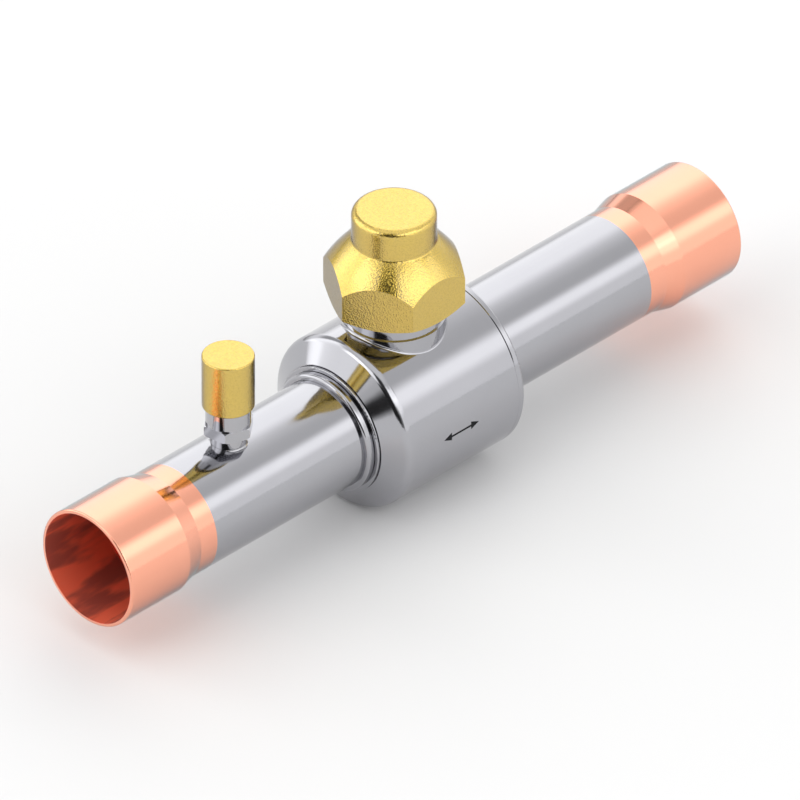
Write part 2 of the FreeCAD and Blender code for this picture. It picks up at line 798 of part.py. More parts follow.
# Ball with its port, the spindle's slot and a pressure relief hole
def build_ball():
    body = new_body("ball", x=at.stem)
    rim = at.port + given.port_chamfer
    rim_place = across(at.ball, rim)
    bore_end = rim_place - given.port_chamfer
    revolve(body, "sphere", [
        (-bore_end, at.port),
        (-rim_place, rim),
        (rim_place, rim, (axis_line, axis_line)),
        (bore_end, at.port),
    ], "H_Axis")
    slot = new_sketch(body, "slot_outline")
    outline(slot, [
        (-at.slot_half, at.slot_floor),
        (at.slot_half, at.slot_floor),
        (at.slot_half, at.ball + cut_past),
        (-at.slot_half, at.ball + cut_past),
    ])
    extrude(body, "slot", slot, cut=True, both_ways=True)
    relief = new_sketch(body, "relief_circle", role="XY_Plane")
    circle(relief, given.relief_hole / 2)
    extrude(body, "relief", relief, cut=True, backwards=True)
    return body


# Seat ring with a spherical face, measured from the stem axis
def build_seat(label, turned=False):
    body = new_body(label, x=at.stem, turned=turned)
    revolve(body, "ring", [
        (at.seat_front, at.seat_outer),
        (at.seat_step, at.seat_outer),
        (at.seat_step, at.seat_step_outer),
        (at.seat_back, at.seat_step_outer),
        (at.seat_back, at.seat_inner),
        (at.seat_lip, at.seat_inner),
        (at.seat_front, at.seat_contact, (axis_line, axis_line)),
    ], "H_Axis")
    return body


# Spindle: tang, blow-out collar, journal with two seal grooves, square and driver slot
def build_spindle():
    body = new_body("spindle", x=at.stem)
    corners = [(axis_line, at.collar_bottom), (at.spindle_collar, at.collar_bottom)]
    corners += [(at.spindle_collar, at.collar_top), (at.spindle, at.collar_top)]
    for seal in (at.lower_seal, at.upper_seal):
        corners += [
            (at.spindle, seal - at.groove_half),
            (at.spindle_groove, seal - at.groove_half),
            (at.spindle_groove, seal + at.groove_half),
            (at.spindle, seal + at.groove_half),
        ]
    corners += [
        (at.spindle, at.spindle_top - given.spindle_lead),
        (at.spindle - given.spindle_lead, at.spindle_top),
        (axis_line, at.spindle_top),
    ]
    revolve(body, "turned_spindle", corners, "V_Axis")
    tang = new_sketch(body, "tang_outline", role="XY_Plane", raised_by=at.tang_bottom)
    half_width = given.tang_width / 2
    half_length = given.tang_length / 2
    outline(tang, [
        (-half_width, -half_length),
        (half_width, -half_length),
        (half_width, half_length),
        (-half_width, half_length),
    ])
    extrude(body, "tang", tang, length=at.collar_bottom - at.tang_bottom)
    flats = new_sketch(body, "square_outline", role="XY_Plane", raised_by=at.square_bottom)
    circle(flats, at.spindle + cut_past)
    half_square = given.spindle_square / 2
    outline(flats, [
        (-half_square, -half_square),
        (half_square, -half_square),
        (half_square, half_square),
        (-half_square, half_square),
    ])
    extrude(body, "square", flats, cut=True, backwards=True)
    half_driver = given.driver_slot / 2
    driver = new_sketch(body, "driver_slot_outline", role="XY_Plane",
                        raised_by=at.spindle_top - given.driver_slot_depth)
    outline(driver, [
        (-at.spindle - cut_past, -half_driver),
        (at.spindle + cut_past, -half_driver),
        (at.spindle + cut_past, half_driver),
        (-at.spindle - cut_past, half_driver),
    ])
    extrude(body, "driver_slot", driver, cut=True, backwards=True)
    pin_hole = new_sketch(body, "pin_hole_circle", role="YZ_Plane")
    circle(pin_hole, at.stop_pin + given.bearing_gap, centre_up=at.stop_pin_height)
    extrude(body, "pin_hole", pin_hole, cut=True, backwards=True)
    return body


# Stop pin, pressed into the spindle and swinging in the neck's recess
def build_stop_pin():
    body = new_body("stop_pin", x=at.stem, z=at.stop_pin_height)
    bevel = given.stop_pin_chamfer
    revolve(body, "pin", [
        (given.stop_pin_root, axis_line),
        (given.stop_pin_root, at.stop_pin - bevel),
        (given.stop_pin_root + bevel, at.stop_pin),
        (at.stop_pin_end - bevel, at.stop_pin),
        (at.stop_pin_end, at.stop_pin - bevel),
        (at.stop_pin_end, axis_line),
    ], "H_Axis")
    return body


def cut_hexagon(body, name, corner_radius, bottom, height=None, turn=None):
    # Mills six flats on a turned blank
    sketch = new_sketch(body, name + "_outline", role="XY_Plane", raised_by=bottom)
    if turn is not None:
        sketch.AttachmentOffset.Rotation = FreeCAD.Rotation(FreeCAD.Vector(0, 0, 1), turn.value)
        sketch.setExpression("AttachmentOffset.Rotation.Angle", turn.text + " * 1 deg")
    circle(sketch, corner_radius + cut_past)
    polygon(sketch, hex_sides, corner_radius)
    extrude(body, name, sketch, length=height, cut=True, backwards=True)


# Seal cap: hexagon, dome and knob over a threaded socket
def build_seal_cap():
    body = new_body("seal_cap", x=at.stem)
    revolve(body, "turned_blank", [
        (axis_line, at.cap_rim),
        (at.cap_flat, at.cap_rim),
        (at.cap_corner, at.cap_corner_low),
        (at.cap_corner, at.cap_corner_top),
        (at.knob, at.knob_foot, (at.dome_centre_out, at.dome_centre_up)),
        (at.knob, at.cap_top),
        (axis_line, at.cap_top),
    ], "V_Axis")

    def at_knob_top(point):
        return close_to(from_upright_axis(point), at.knob) and close_to(point.z, at.cap_top)

    def at_knob_foot(point):
        return close_to(from_upright_axis(point), at.knob) and close_to(point.z, at.knob_foot)

    round_edges(body, "knob_round", given.knob_round, at_knob_top)
    round_edges(body, "knob_foot_round", given.knob_foot_round, at_knob_foot)
    cut_hexagon(body, "hexagon", at.cap_corner, at.cap_rim)
    revolve(body, "inside", [
        (axis_line, at.cap_rim - cut_past),
        (at.cap_bore + given.cap_lead, at.cap_rim - cut_past),
        (at.cap_bore + given.cap_lead, at.cap_rim),
        (at.cap_bore, at.cap_rim + given.cap_lead),
        (at.cap_bore, at.cap_shoulder),
        (at.cap_cavity, at.cap_shoulder),
        (at.cap_cavity, at.cap_ceiling),
        (axis_line, at.cap_ceiling),
    ], "V_Axis", cut=True)
    return body


# Charging port: a fitting brazed into the inlet tube, with a core behind its tip
def build_access_fitting():
    body = new_body("access_fitting", x=given.port_place)
    bend = given.port_foot_round
    bevel = given.port_hex_chamfer
    hex_corner = at.port_hex_corner
    revolve(body, "turned_outside", [
        (axis_line, at.port_foot_low),
        (at.port_foot, at.port_foot_low),
        (at.port_foot, at.port_foot_top),
        (at.port_stem, at.port_foot_top + bend, (at.port_stem + bend, at.port_foot_top + bend)),
        (at.port_stem, at.port_hex_bottom),
        (hex_corner - bevel, at.port_hex_bottom),
        (hex_corner, at.port_hex_bottom + bevel),
        (hex_corner, at.port_hex_top - bevel),
        (hex_corner - bevel, at.port_hex_top),
        (at.port_thread, at.port_hex_top),
        (at.port_thread, at.port_land_top - given.port_thread_depth),
        (at.port_core, at.port_land_top),
        (at.port_core, at.port_flare),
        (at.port_tip_outer, at.port_tip),
        (axis_line, at.port_tip),
    ], "V_Axis")
    cut_hexagon(body, "hexagon", hex_corner, at.port_hex_bottom, given.port_hex_height, given.port_hex_turn)
    saddle = new_sketch(body, "saddle_circle", role="YZ_Plane")
    circle(saddle, at.tube_fit)
    extrude(body, "saddle", saddle, cut=True, both_ways=True)
    revolve(body, "spigot", [
        (axis_line, at.port_bottom),
        (at.port_spigot, at.port_bottom),
        (at.port_spigot, at.port_hex_bottom),
        (axis_line, at.port_hex_bottom),
    ], "V_Axis")
    revolve(body, "bore", [
        (axis_line, at.port_bottom - cut_past),
        (at.core_lower, at.port_bottom - cut_past),
        (at.core_lower, at.core_seat_bottom),
        (at.core_bore, at.core_seat_top),
        (at.core_bore, at.port_tip + cut_past),
        (axis_line, at.port_tip + cut_past),
    ], "V_Axis", cut=True)
    return body


def build_core_body():
    body = new_body("core_body", x=given.port_place)
    bevel = given.core_head_chamfer
    revolve(body, "turned_core", [
        (at.core_pin_hole, at.core_bottom),
        (at.core_stem, at.core_bottom),
        (at.core_stem, at.core_head_bottom),
        (at.core_head, at.core_head_bottom),
        (at.core_head, at.core_top - bevel),
        (at.core_head - bevel, at.core_top),
        (at.core_cup, at.core_top),
        (at.core_cup, at.core_ledge),
        (at.core_pin_hole, at.core_ledge),
    ], "V_Axis")
    return body


def build_core_seal():
    # A tapered sleeve on the core's stem, pressed into the fitting's taper
    body = new_body("core_seal", x=given.port_place)
    inner = at.core_stem + given.squeeze_gap
    revolve(body, "sleeve", [
        (inner, at.core_seat_bottom),
        (at.core_lower - given.squeeze_gap, at.core_seat_bottom),
        (at.core_bore - given.squeeze_gap * 2, at.core_seat_top),
        (inner, at.core_seat_top),
    ], "V_Axis")
    return body


def build_core_pin():
    body = new_body("core_pin", x=given.port_place)
    revolve(body, "turned_pin", [
        (axis_line, at.core_foot_bottom),
        (at.core_pin_foot, at.core_foot_bottom),
        (at.core_pin_foot, at.core_foot_top),
        (at.core_rod, at.core_foot_top),
        (at.core_rod, at.core_pin_head_bottom),
        (at.core_pin_head, at.core_pin_head_bottom),
        (at.core_pin_head, at.core_pin_top - given.core_pin_lead),
        (at.core_pin_head - given.core_pin_lead, at.core_pin_top),
        (axis_line, at.core_pin_top),
    ], "V_Axis")
    return body


def build_core_spring():
    body = new_body("core_spring", x=given.port_place)
    wire = new_sketch(body, "wire_circle")
    circle(wire, at.spring_wire, at.spring_centre, at.spring_bottom)
    feature = body.newObject("PartDesign::AdditiveHelix", "coil")
    feature.Profile = wire
    feature.ReferenceAxis = (wire, ["V_Axis"])
    feature.Mode = "height-turns-angle"
    feature.setExpression("Height", at.spring_rise.text)
    feature.setExpression("Turns", given.core_spring_turns.text)
    feature.Angle = 0
    return body


def build_access_cap():
    body = new_body("access_cap", x=given.port_place)
    bend = given.port_cap_round
    lead = given.port_cap_lead
    revolve(body, "turned_cap", [
        (at.port_cap_bore + lead, at.port_cap_rim),
        (at.port_cap_outer - bend, at.port_cap_rim),
        (at.port_cap_outer, at.port_cap_rim + bend, (at.port_cap_outer - bend, at.port_cap_rim + bend)),
        (at.port_cap_outer, at.port_cap_top - bend),
        (at.port_cap_outer - bend, at.port_cap_top, (at.port_cap_outer - bend, at.port_cap_top - bend)),
        (axis_line, at.port_cap_top),
        (axis_line, at.port_cap_ceiling),
        (at.port_cap_bore, at.port_cap_ceiling),
        (at.port_cap_bore, at.port_cap_rim + lead),
    ], "V_Axis")
    return body


valve_pieces = [
    build_socket("inlet_socket"),
    build_socket("outlet_socket", x=given.overall_length, turned=True),
    build_tube("inlet_tube", port=True),
    build_tube("outlet_tube", x=given.overall_length, turned=True),
    build_barrel(),
    build_end_plug(),
    build_ball(),
    build_seat("inlet_seat", turned=True),
    build_seat("outlet_seat"),
    seal_ring("inlet_seat_ring", "H_Axis", at.seat_ring_centre, at.seat_ring_place,
              given.seat_ring_wire, at.stem, turned=True),
    seal_ring("outlet_seat_ring", "H_Axis", at.seat_ring_centre, at.seat_ring_place,
              given.seat_ring_wire, at.stem),
    build_spindle(),
    seal_ring("lower_spindle_seal", "V_Axis", at.spindle_seal_centre, at.lower_seal,
              given.spindle_seal_wire, at.stem),
    seal_ring("upper_spindle_seal", "V_Axis", at.spindle_seal_centre, at.upper_seal,
              given.spindle_seal_wire, at.stem),
    washer("thrust_washer", at.spindle + given.washer_side_gap, at.spindle_collar,
           at.washer_bottom, at.washer_top, at.stem),
    build_stop_pin(),
    build_seal_cap(),
    washer("cap_gasket", at.gasket_inner, at.gasket_outer, at.gasket_bottom, at.gasket_top, at.stem),
    build_access_fitting(),
    build_core_body(),
    build_core_seal(),
    build_core_pin(),
    washer("core_disc", at.core_rod + given.squeeze_gap, at.core_pin_foot,
           at.core_disc_bottom, at.core_disc_top, given.port_place),
    build_core_spring(),
    build_access_cap(),
    washer("access_cap_seal", at.core_rod, at.port_seal_outer,
           at.port_seal_bottom, at.port_seal_top, given.port_place),
]
doc.recompute()

for item in doc.Objects:
    if "Invalid" in item.State or "Error" in item.State:
        raise RuntimeError("%s did not compute: %s" % (item.Label, item.State))
for body in valve_pieces:
    shape = body.Shape
    if shape.isNull() or not shape.isValid() or len(shape.Solids) != 1:
        raise RuntimeError("%s is not one valid solid" % body.Label)

os.makedirs("parts", exist_ok=True)
for body in valve_pieces:
    body.Shape.exportStep(os.path.join("parts", body.Label + ".step"))
    print("%-20s %9.1f mm3" % (body.Label, body.Shape.Volume))
print("%d pieces" % len(valve_pieces))
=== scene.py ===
import bpy
import math
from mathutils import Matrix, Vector


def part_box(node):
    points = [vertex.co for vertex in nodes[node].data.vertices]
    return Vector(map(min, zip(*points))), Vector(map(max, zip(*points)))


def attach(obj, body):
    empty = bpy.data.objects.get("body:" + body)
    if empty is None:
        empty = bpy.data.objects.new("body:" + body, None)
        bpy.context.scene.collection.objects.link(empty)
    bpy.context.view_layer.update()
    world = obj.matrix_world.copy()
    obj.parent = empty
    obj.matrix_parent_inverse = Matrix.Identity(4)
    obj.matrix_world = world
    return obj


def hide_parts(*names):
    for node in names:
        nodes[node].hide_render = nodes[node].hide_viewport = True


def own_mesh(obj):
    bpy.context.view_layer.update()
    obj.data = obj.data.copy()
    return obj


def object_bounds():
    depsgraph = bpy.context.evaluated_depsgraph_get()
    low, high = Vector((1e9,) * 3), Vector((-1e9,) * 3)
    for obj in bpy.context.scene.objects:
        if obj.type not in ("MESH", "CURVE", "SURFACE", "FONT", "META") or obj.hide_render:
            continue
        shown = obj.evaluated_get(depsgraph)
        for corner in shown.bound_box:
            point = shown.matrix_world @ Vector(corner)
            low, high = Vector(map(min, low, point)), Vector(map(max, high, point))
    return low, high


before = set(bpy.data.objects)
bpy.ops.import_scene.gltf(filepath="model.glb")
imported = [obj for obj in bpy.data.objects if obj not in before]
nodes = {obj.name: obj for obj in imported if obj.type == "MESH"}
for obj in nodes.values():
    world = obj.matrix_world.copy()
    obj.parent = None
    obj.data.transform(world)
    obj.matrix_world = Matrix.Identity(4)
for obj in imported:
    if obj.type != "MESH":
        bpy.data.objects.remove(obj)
cadLow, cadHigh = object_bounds()
mm = 0.001
print("frame loaded, %d nodes" % len(nodes))


def addNode(tree, kind, inputs=None, **settings):
    node = tree.nodes.new(kind)
    for name, value in settings.items():
        setattr(node, name, value)
    for name, value in (inputs or {}).items():
        socket = node.inputs[name]
        if isinstance(value, bpy.types.NodeSocket):
            tree.links.new(value, socket)
        else:
            socket.default_value = value
    return node


def addMath(tree, operation, *values):
    node = addNode(tree, "ShaderNodeMath", operation=operation)
    for index, value in enumerate(values):
        if isinstance(value, bpy.types.NodeSocket):
            tree.links.new(value, node.inputs[index])
        else:
            node.inputs[index].default_value = value
    return node.outputs[0]


def newGroup(name, inputs, outputs, kind="ShaderNodeTree"):
    # inputs: name -> (socket type, default); outputs: name -> socket type
    group = bpy.data.node_groups.new(name, kind)
    for label, (socketType, default) in inputs.items():
        socket = group.interface.new_socket(label, in_out="INPUT", socket_type=socketType)
        if default is not None:
            socket.default_value = default
    for label, socketType in outputs.items():
        group.interface.new_socket(label, in_out="OUTPUT", socket_type=socketType)
    start = group.nodes.new("NodeGroupInput").outputs
    end = group.nodes.new("NodeGroupOutput").inputs
    return group, start, end


def fromAxis(tree, parts):
    # Distance from the X axis
    squares = addMath(tree, "ADD", addMath(tree, "POWER", parts["Y"], 2.0),
                      addMath(tree, "POWER", parts["Z"], 2.0))
    return addMath(tree, "SQRT", squares)


# Surface effects that several finishes share
def makeTurnedLines():
    # Fine lathe lines round the X axis of the vector, on cylinders and on end faces alike
    group, start, end = newGroup(
        "turnedLines",
        {
            "Vector": ("NodeSocketVector", None),
            "Line Spacing": ("NodeSocketFloat", 0.3 * mm),
            "Wander": ("NodeSocketFloat", 0.15),
        },
        {"Height": "NodeSocketFloat"},
    )
    parts = addNode(group, "ShaderNodeSeparateXYZ", {"Vector": start["Vector"]}).outputs
    along = addMath(group, "ADD", parts["X"], fromAxis(group, parts))
    drift = addNode(group, "ShaderNodeTexNoise", {
        "Vector": start["Vector"],
        "Scale": 60.0,
        "Detail": 1.0,
    })
    shifted = addMath(group, "MULTIPLY_ADD", drift.outputs["Fac"],
                      addMath(group, "MULTIPLY", start["Wander"], start["Line Spacing"]), along)
    place = addMath(group, "DIVIDE", shifted, start["Line Spacing"])
    lines = addNode(group, "ShaderNodeTexNoise", {
        "W": place,
        "Scale": 1.0,
        "Detail": 2.0,
        "Roughness": 0.6,
    }, noise_dimensions="1D")
    group.links.new(lines.outputs["Fac"], end["Height"])
    return group


def makeDrawnLines():
    # Long faint streaks along the X axis of the vector, as a drawn tube has
    group, start, end = newGroup(
        "drawnLines",
        {
            "Vector": ("NodeSocketVector", None),
            "Width": ("NodeSocketFloat", 0.4 * mm),
            "Length": ("NodeSocketFloat", 30 * mm),
        },
        {"Height": "NodeSocketFloat"},
    )
    parts = addNode(group, "ShaderNodeSeparateXYZ", {"Vector": start["Vector"]}).outputs
    stretched = addNode(group, "ShaderNodeCombineXYZ", {
        "X": addMath(group, "DIVIDE", parts["X"], start["Length"]),
        "Y": addMath(group, "DIVIDE", parts["Y"], start["Width"]),
        "Z": addMath(group, "DIVIDE", parts["Z"], start["Width"]),
    })
    streaks = addNode(group, "ShaderNodeTexNoise", {
        "Vector": stretched.outputs[0],
        "Scale": 1.0,
        "Detail": 3.0,
        "Roughness": 0.55,
    })
    group.links.new(streaks.outputs["Fac"], end["Height"])
    return group


def makeClouding():
    # Broad soft patches of handling film and tarnish, from 0 to 1
    group, start, end = newGroup(
        "clouding",
        {
            "Vector": ("NodeSocketVector", None),
            "Size": ("NodeSocketFloat", 12 * mm),
            "Contrast": ("NodeSocketFloat", 1.0),
        },
        {"Cover": "NodeSocketFloat"},
    )
    scaled = addNode(group, "ShaderNodeVectorMath", {0: start["Vector"]}, operation="SCALE")
    group.links.new(addMath(group, "DIVIDE", 1.0, start["Size"]), scaled.inputs["Scale"])
    patches = addNode(group, "ShaderNodeTexNoise", {
        "Vector": scaled.outputs[0],
        "Scale": 1.0,
        "Detail": 4.0,
        "Roughness": 0.6,
        "Distortion": 0.4,
    })
    middle = 0.5
    centred = addMath(group, "SUBTRACT", patches.outputs["Fac"], middle)
    spread = addMath(group, "MULTIPLY_ADD", centred, start["Contrast"], middle)
    group.links.new(addNode(group, "ShaderNodeClamp", {"Value": spread}).outputs[0], end["Cover"])
    return group


def makeForgedGrain():
    # Pebbled skin of a brass forging: rounded grains with fine roughness on them
    group, start, end = newGroup(
        "forgedGrain",
        {
            "Vector": ("NodeSocketVector", None),
            "Grain Size": ("NodeSocketFloat", 0.5 * mm),
            "Fine Share": ("NodeSocketFloat", 0.35),
        },
        {"Height": "NodeSocketFloat"},
    )
    scaled = addNode(group, "ShaderNodeVectorMath", {0: start["Vector"]}, operation="SCALE")
    group.links.new(addMath(group, "DIVIDE", 1.0, start["Grain Size"]), scaled.inputs["Scale"])
    pebbles = addNode(group, "ShaderNodeTexNoise", {
        "Vector": scaled.outputs[0],
        "Scale": 1.0,
        "Detail": 1.0,
        "Roughness": 0.4,
    })
    fine = addNode(group, "ShaderNodeTexNoise", {
        "Vector": scaled.outputs[0],
        "Scale": 2.3,
        "Detail": 2.0,
        "Roughness": 0.5,
    })
    height = addMath(group, "MULTIPLY_ADD", fine.outputs["Fac"], start["Fine Share"],
                     pebbles.outputs["Fac"])
    group.links.new(height, end["Height"])
    return group


turnedLines = makeTurnedLines()
drawnLines = makeDrawnLines()
clouding = makeClouding()
forgedGrain = makeForgedGrain()
print("shared surface effects built")


def newMaterial(name, metallic):
    material = bpy.data.materials.new(name)
    material.use_nodes = True
    tree = material.node_tree
    tree.nodes.clear()
    shader = addNode(tree, "ShaderNodeBsdfPrincipled", {"Metallic": metallic})
    addNode(tree, "ShaderNodeOutputMaterial", {"Surface": shader.outputs[0]})
    place = addNode(tree, "ShaderNodeTexCoord").outputs["Object"]
    return material, tree, shader, place


def centredOn(tree, place, centre, upright=False):
    # Brings a piece's own axis to the pattern's X axis
    moved = addNode(tree, "ShaderNodeMapping", {"Vector": place, "Location": [-c for c in centre]})
    if not upright:
        return moved.outputs[0]
    turned = addNode(tree, "ShaderNodeMapping", {
        "Vector": moved.outputs[0],
        "Rotation": (0, math.pi / 2, 0),
    })
    return turned.outputs[0]


def blendColours(tree, factor, first, second):
    # Sockets 6 and 7 of a Mix node take colours, and its output 2 gives one
    node = addNode(tree, "ShaderNodeMix", {"Factor": factor}, data_type="RGBA")
    for index, colour in ((6, first), (7, second)):
        if isinstance(colour, bpy.types.NodeSocket):
            tree.links.new(colour, node.inputs[index])
        else:
            node.inputs[index].default_value = (*colour, 1.0)
    return node.outputs[2]


def shadeSurface(tree, shader, place, look, height=None):
    # Colour and roughness drift a little with the clouding, so no surface is one flat value
    cover = addNode(tree, "ShaderNodeGroup", {
        "Vector": place,
        "Size": look["patchSize"],
        "Contrast": look["patchContrast"],
    }, node_tree=clouding)
    colour = blendColours(tree, cover.outputs["Cover"], look["colour"], look["patchColour"])
    if "pitColour" in look:
        # The hollows of the grain keep a little more tarnish
        pits = addNode(tree, "ShaderNodeMapRange", {
            "Value": height,
            "From Min": look["pitRange"][0],
            "From Max": look["pitRange"][1],
            "To Min": 1.0,
            "To Max": 0.0,
        })
        colour = blendColours(tree, pits.outputs[0], colour, look["pitColour"])
    tree.links.new(colour, shader.inputs["Base Color"])
    rough = addNode(tree, "ShaderNodeMapRange", {
        "Value": cover.outputs["Cover"],
        "To Min": look["roughness"][0],
        "To Max": look["roughness"][1],
    })
    tree.links.new(rough.outputs[0], shader.inputs["Roughness"])
    if "filmIndex" in look:
        # A clear oxide film over the metal, which also dulls it where it is seen at a slant
        shader.inputs["Specular Tint"].default_value = (*look["slantTint"], 1.0)
        shader.inputs["Coat Weight"].default_value = look["filmShare"]
        shader.inputs["Coat IOR"].default_value = look["filmIndex"]
        shader.inputs["Coat Roughness"].default_value = look["filmRoughness"]


def addBump(tree, shader, height, depth):
    bump = addNode(tree, "ShaderNodeBump", {"Height": height, "Distance": depth, "Strength": 1.0})
    tree.links.new(bump.outputs[0], shader.inputs["Normal"])


def turnedMetal(name, look, centre, upright=False):
    material, tree, shader, place = newMaterial(name, 1.0)
    shadeSurface(tree, shader, place, look)
    lines = addNode(tree, "ShaderNodeGroup", {
        "Vector": centredOn(tree, place, centre, upright),
        "Line Spacing": look["lineSpacing"],
    }, node_tree=turnedLines)
    addBump(tree, shader, lines.outputs["Height"], look["lineDepth"])
    return material


def drawnMetal(name, look):
    material, tree, shader, place = newMaterial(name, 1.0)
    shadeSurface(tree, shader, place, look)
    lines = addNode(tree, "ShaderNodeGroup", {"Vector": place, "Width": look["lineSpacing"]},
                    node_tree=drawnLines)
    addBump(tree, shader, lines.outputs["Height"], look["lineDepth"])
    return material


def grainySurface(name, look, metallic):
    material, tree, shader, place = newMaterial(name, metallic)
    grain = addNode(tree, "ShaderNodeGroup", {"Vector": place, "Grain Size": look["grainSize"]},
                    node_tree=forgedGrain)
    shadeSurface(tree, shader, place, look, grain.outputs["Height"])
    addBump(tree, shader, grain.outputs["Height"], look["grainDepth"])
    return material


def dress(material, *names):
    for name in names:
        node = nodes[name]
        node.data.materials.clear()
        node.data.materials.append(material)


stemLow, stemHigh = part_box("spindle")
stemX = (stemLow.x + stemHigh.x) / 2
portLow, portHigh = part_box("access_fitting")
portX = (portLow.x + portHigh.x) / 2
flowAxis = (0.0, 0.0, 0.0)
stemAxis = (stemX, 0.0, 0.0)
portAxis = (portX, 0.0, 0.0)

# Mirror-polished steel of the barrel, its end plug and the tubes
barrelLook = {
    "colour": (0.43, 0.43, 0.455),
    "patchColour": (0.41, 0.41, 0.435),
    "roughness": (0.07, 0.11),
    "patchSize": 14 * mm,
    "patchContrast": 1.4,
    "lineSpacing": 0.35 * mm,
    "lineDepth": 0.0006 * mm,
}
tubeLook = dict(barrelLook, roughness=(0.09, 0.13), lineSpacing=0.5 * mm, lineDepth=0.0008 * mm)
dress(turnedMetal("polishedBarrelSteel", barrelLook, flowAxis), "barrel", "end_plug")
dress(drawnMetal("polishedTubeSteel", tubeLook), "inlet_tube", "outlet_tube")

# Clean copper of the solder ends, dull and red in the bore, with bright streaks painted along the
# bore as reflections
copperLook = {
    "colour": (0.99, 0.44, 0.295),
    "patchColour": (0.97, 0.41, 0.27),
    "slantTint": (0.45, 0.70, 0.80),
    "filmShare": 0.3,
    "filmIndex": 1.8,
    "filmRoughness": 0.12,
    "roughness": (0.10, 0.16),
    "patchSize": 18 * mm,
    "patchContrast": 1.5,
    "lineSpacing": 0.6 * mm,
    "lineDepth": 0.0012 * mm,
    # The bore's dull red, then the brighter red of the reflection streaks painted along it
    "boreAndPaintedStreakColours": ((0.42, 0.10, 0.07), (1.0, 0.19, 0.10)),
    "boreMetallic": 0.2,
    "boreRoughness": 0.3,
    "boreRadius": 14.45 * mm,
    "boreFrom": 83.5 * mm,
    "paintedStreakWidth": 6.0 * mm,
    "paintedStreakLength": 24 * mm,
    "paintedStreakRange": (0.40, 0.60),
    "paintedStreakShift": (40 * mm, 21 * mm, 3 * mm),
}


def copperMetal(name, look):
    material = drawnMetal(name, look)
    tree = material.node_tree
    shader = tree.nodes["Principled BSDF"]
    place = tree.nodes["Texture Coordinate"].outputs["Object"]
    parts = addNode(tree, "ShaderNodeSeparateXYZ", {"Vector": place}).outputs
    near = addMath(tree, "LESS_THAN", fromAxis(tree, parts), look["boreRadius"])
    fromStem = addMath(tree, "ABSOLUTE", addMath(tree, "SUBTRACT", parts["X"], stemX))
    atEnd = addMath(tree, "GREATER_THAN", fromStem, look["boreFrom"])
    inside = addMath(tree, "MULTIPLY", near, atEnd)
    # Painted reflections: bright red streaks along the bore stand in for the reflections running
    # down it
    paintedStreaks = addNode(tree, "ShaderNodeGroup", {
        "Vector": centredOn(tree, place, look["paintedStreakShift"]),
        "Width": look["paintedStreakWidth"],
        "Length": look["paintedStreakLength"],
    }, node_tree=drawnLines)
    spread = addNode(tree, "ShaderNodeMapRange", {
        "Value": paintedStreaks.outputs["Height"],
        "From Min": look["paintedStreakRange"][0],
        "From Max": look["paintedStreakRange"][1],
    }, interpolation_type="SMOOTHSTEP")
    boreWithPaintedStreaks = blendColours(tree, spread.outputs[0], *look["boreAndPaintedStreakColours"])
    outside = shader.inputs["Base Color"].links[0].from_socket
    tree.links.new(blendColours(tree, inside, outside, boreWithPaintedStreaks), shader.inputs["Base Color"])
    metal = addNode(tree, "ShaderNodeMapRange", {
        "Value": inside,
        "To Min": 1.0,
        "To Max": look["boreMetallic"],
    })
    tree.links.new(metal.outputs[0], shader.inputs["Metallic"])
    # Sockets 2 and 3 of a Mix node take single values
    smooth = shader.inputs["Roughness"].links[0].from_socket
    rough = addNode(tree, "ShaderNodeMix", {"Factor": inside, 2: smooth, 3: look["boreRoughness"]},
                    data_type="FLOAT")
    tree.links.new(rough.outputs[0], shader.inputs["Roughness"])
    return material


dress(copperMetal("drawnCopper", copperLook), "inlet_socket", "outlet_socket")

# Brass of the two caps, pebbled all over
sealCapLook = {
    "colour": (0.70, 0.50, 0.094),
    "patchColour": (0.66, 0.464, 0.082),
    "pitColour": (0.58, 0.402, 0.069),
    "pitRange": (0.44, 0.76),
    "slantTint": (0.20, 0.20, 0.25),
    "filmShare": 0.75,
    "filmIndex": 1.8,
    "filmRoughness": 0.12,
    "roughness": (0.10, 0.16),
    "patchSize": 9 * mm,
    "patchContrast": 1.6,
    "grainSize": 0.42 * mm,
    "grainDepth": 0.085 * mm,
}
portCapLook = dict(sealCapLook, grainSize=0.36 * mm, grainDepth=0.09 * mm, roughness=(0.13, 0.19),
                   filmRoughness=0.16)
dress(grainySurface("forgedBrass", sealCapLook, 1.0), "seal_cap")
dress(grainySurface("rolledBrass", portCapLook, 1.0), "access_cap")

# Bright nickel plate of the charging port and the chromed ball
platedLook = {
    "colour": (0.47, 0.47, 0.49),
    "patchColour": (0.44, 0.44, 0.46),
    "roughness": (0.04, 0.08),
    "patchSize": 5 * mm,
    "patchContrast": 1.4,
    "lineSpacing": 0.3 * mm,
    "lineDepth": 0.0005 * mm,
}
ballLook = dict(platedLook, colour=(0.55, 0.55, 0.56), lineDepth=0.0002 * mm)
dress(turnedMetal("nickelPlate", platedLook, portAxis, upright=True), "access_fitting")
dress(turnedMetal("chromedBall", ballLook, stemAxis, upright=True), "ball")

# Spindle, its pin, the core's spring and the core's brass
spindleLook = {
    "colour": (0.33, 0.33, 0.34),
    "patchColour": (0.27, 0.27, 0.28),
    "roughness": (0.24, 0.34),
    "patchSize": 6 * mm,
    "patchContrast": 1.6,
    "lineSpacing": 0.25 * mm,
    "lineDepth": 0.003 * mm,
}
springLook = dict(spindleLook, colour=(0.42, 0.41, 0.4), roughness=(0.2, 0.3), lineDepth=0.001 * mm)
coreLook = dict(spindleLook, colour=(0.78, 0.56, 0.22), patchColour=(0.7, 0.48, 0.17),
                roughness=(0.2, 0.3), lineDepth=0.002 * mm)
dress(turnedMetal("spindleSteel", spindleLook, stemAxis, upright=True), "spindle", "stop_pin")
dress(turnedMetal("springSteel", springLook, portAxis, upright=True), "core_spring")
dress(turnedMetal("coreBrass", coreLook, portAxis, upright=True), "core_body", "core_pin")

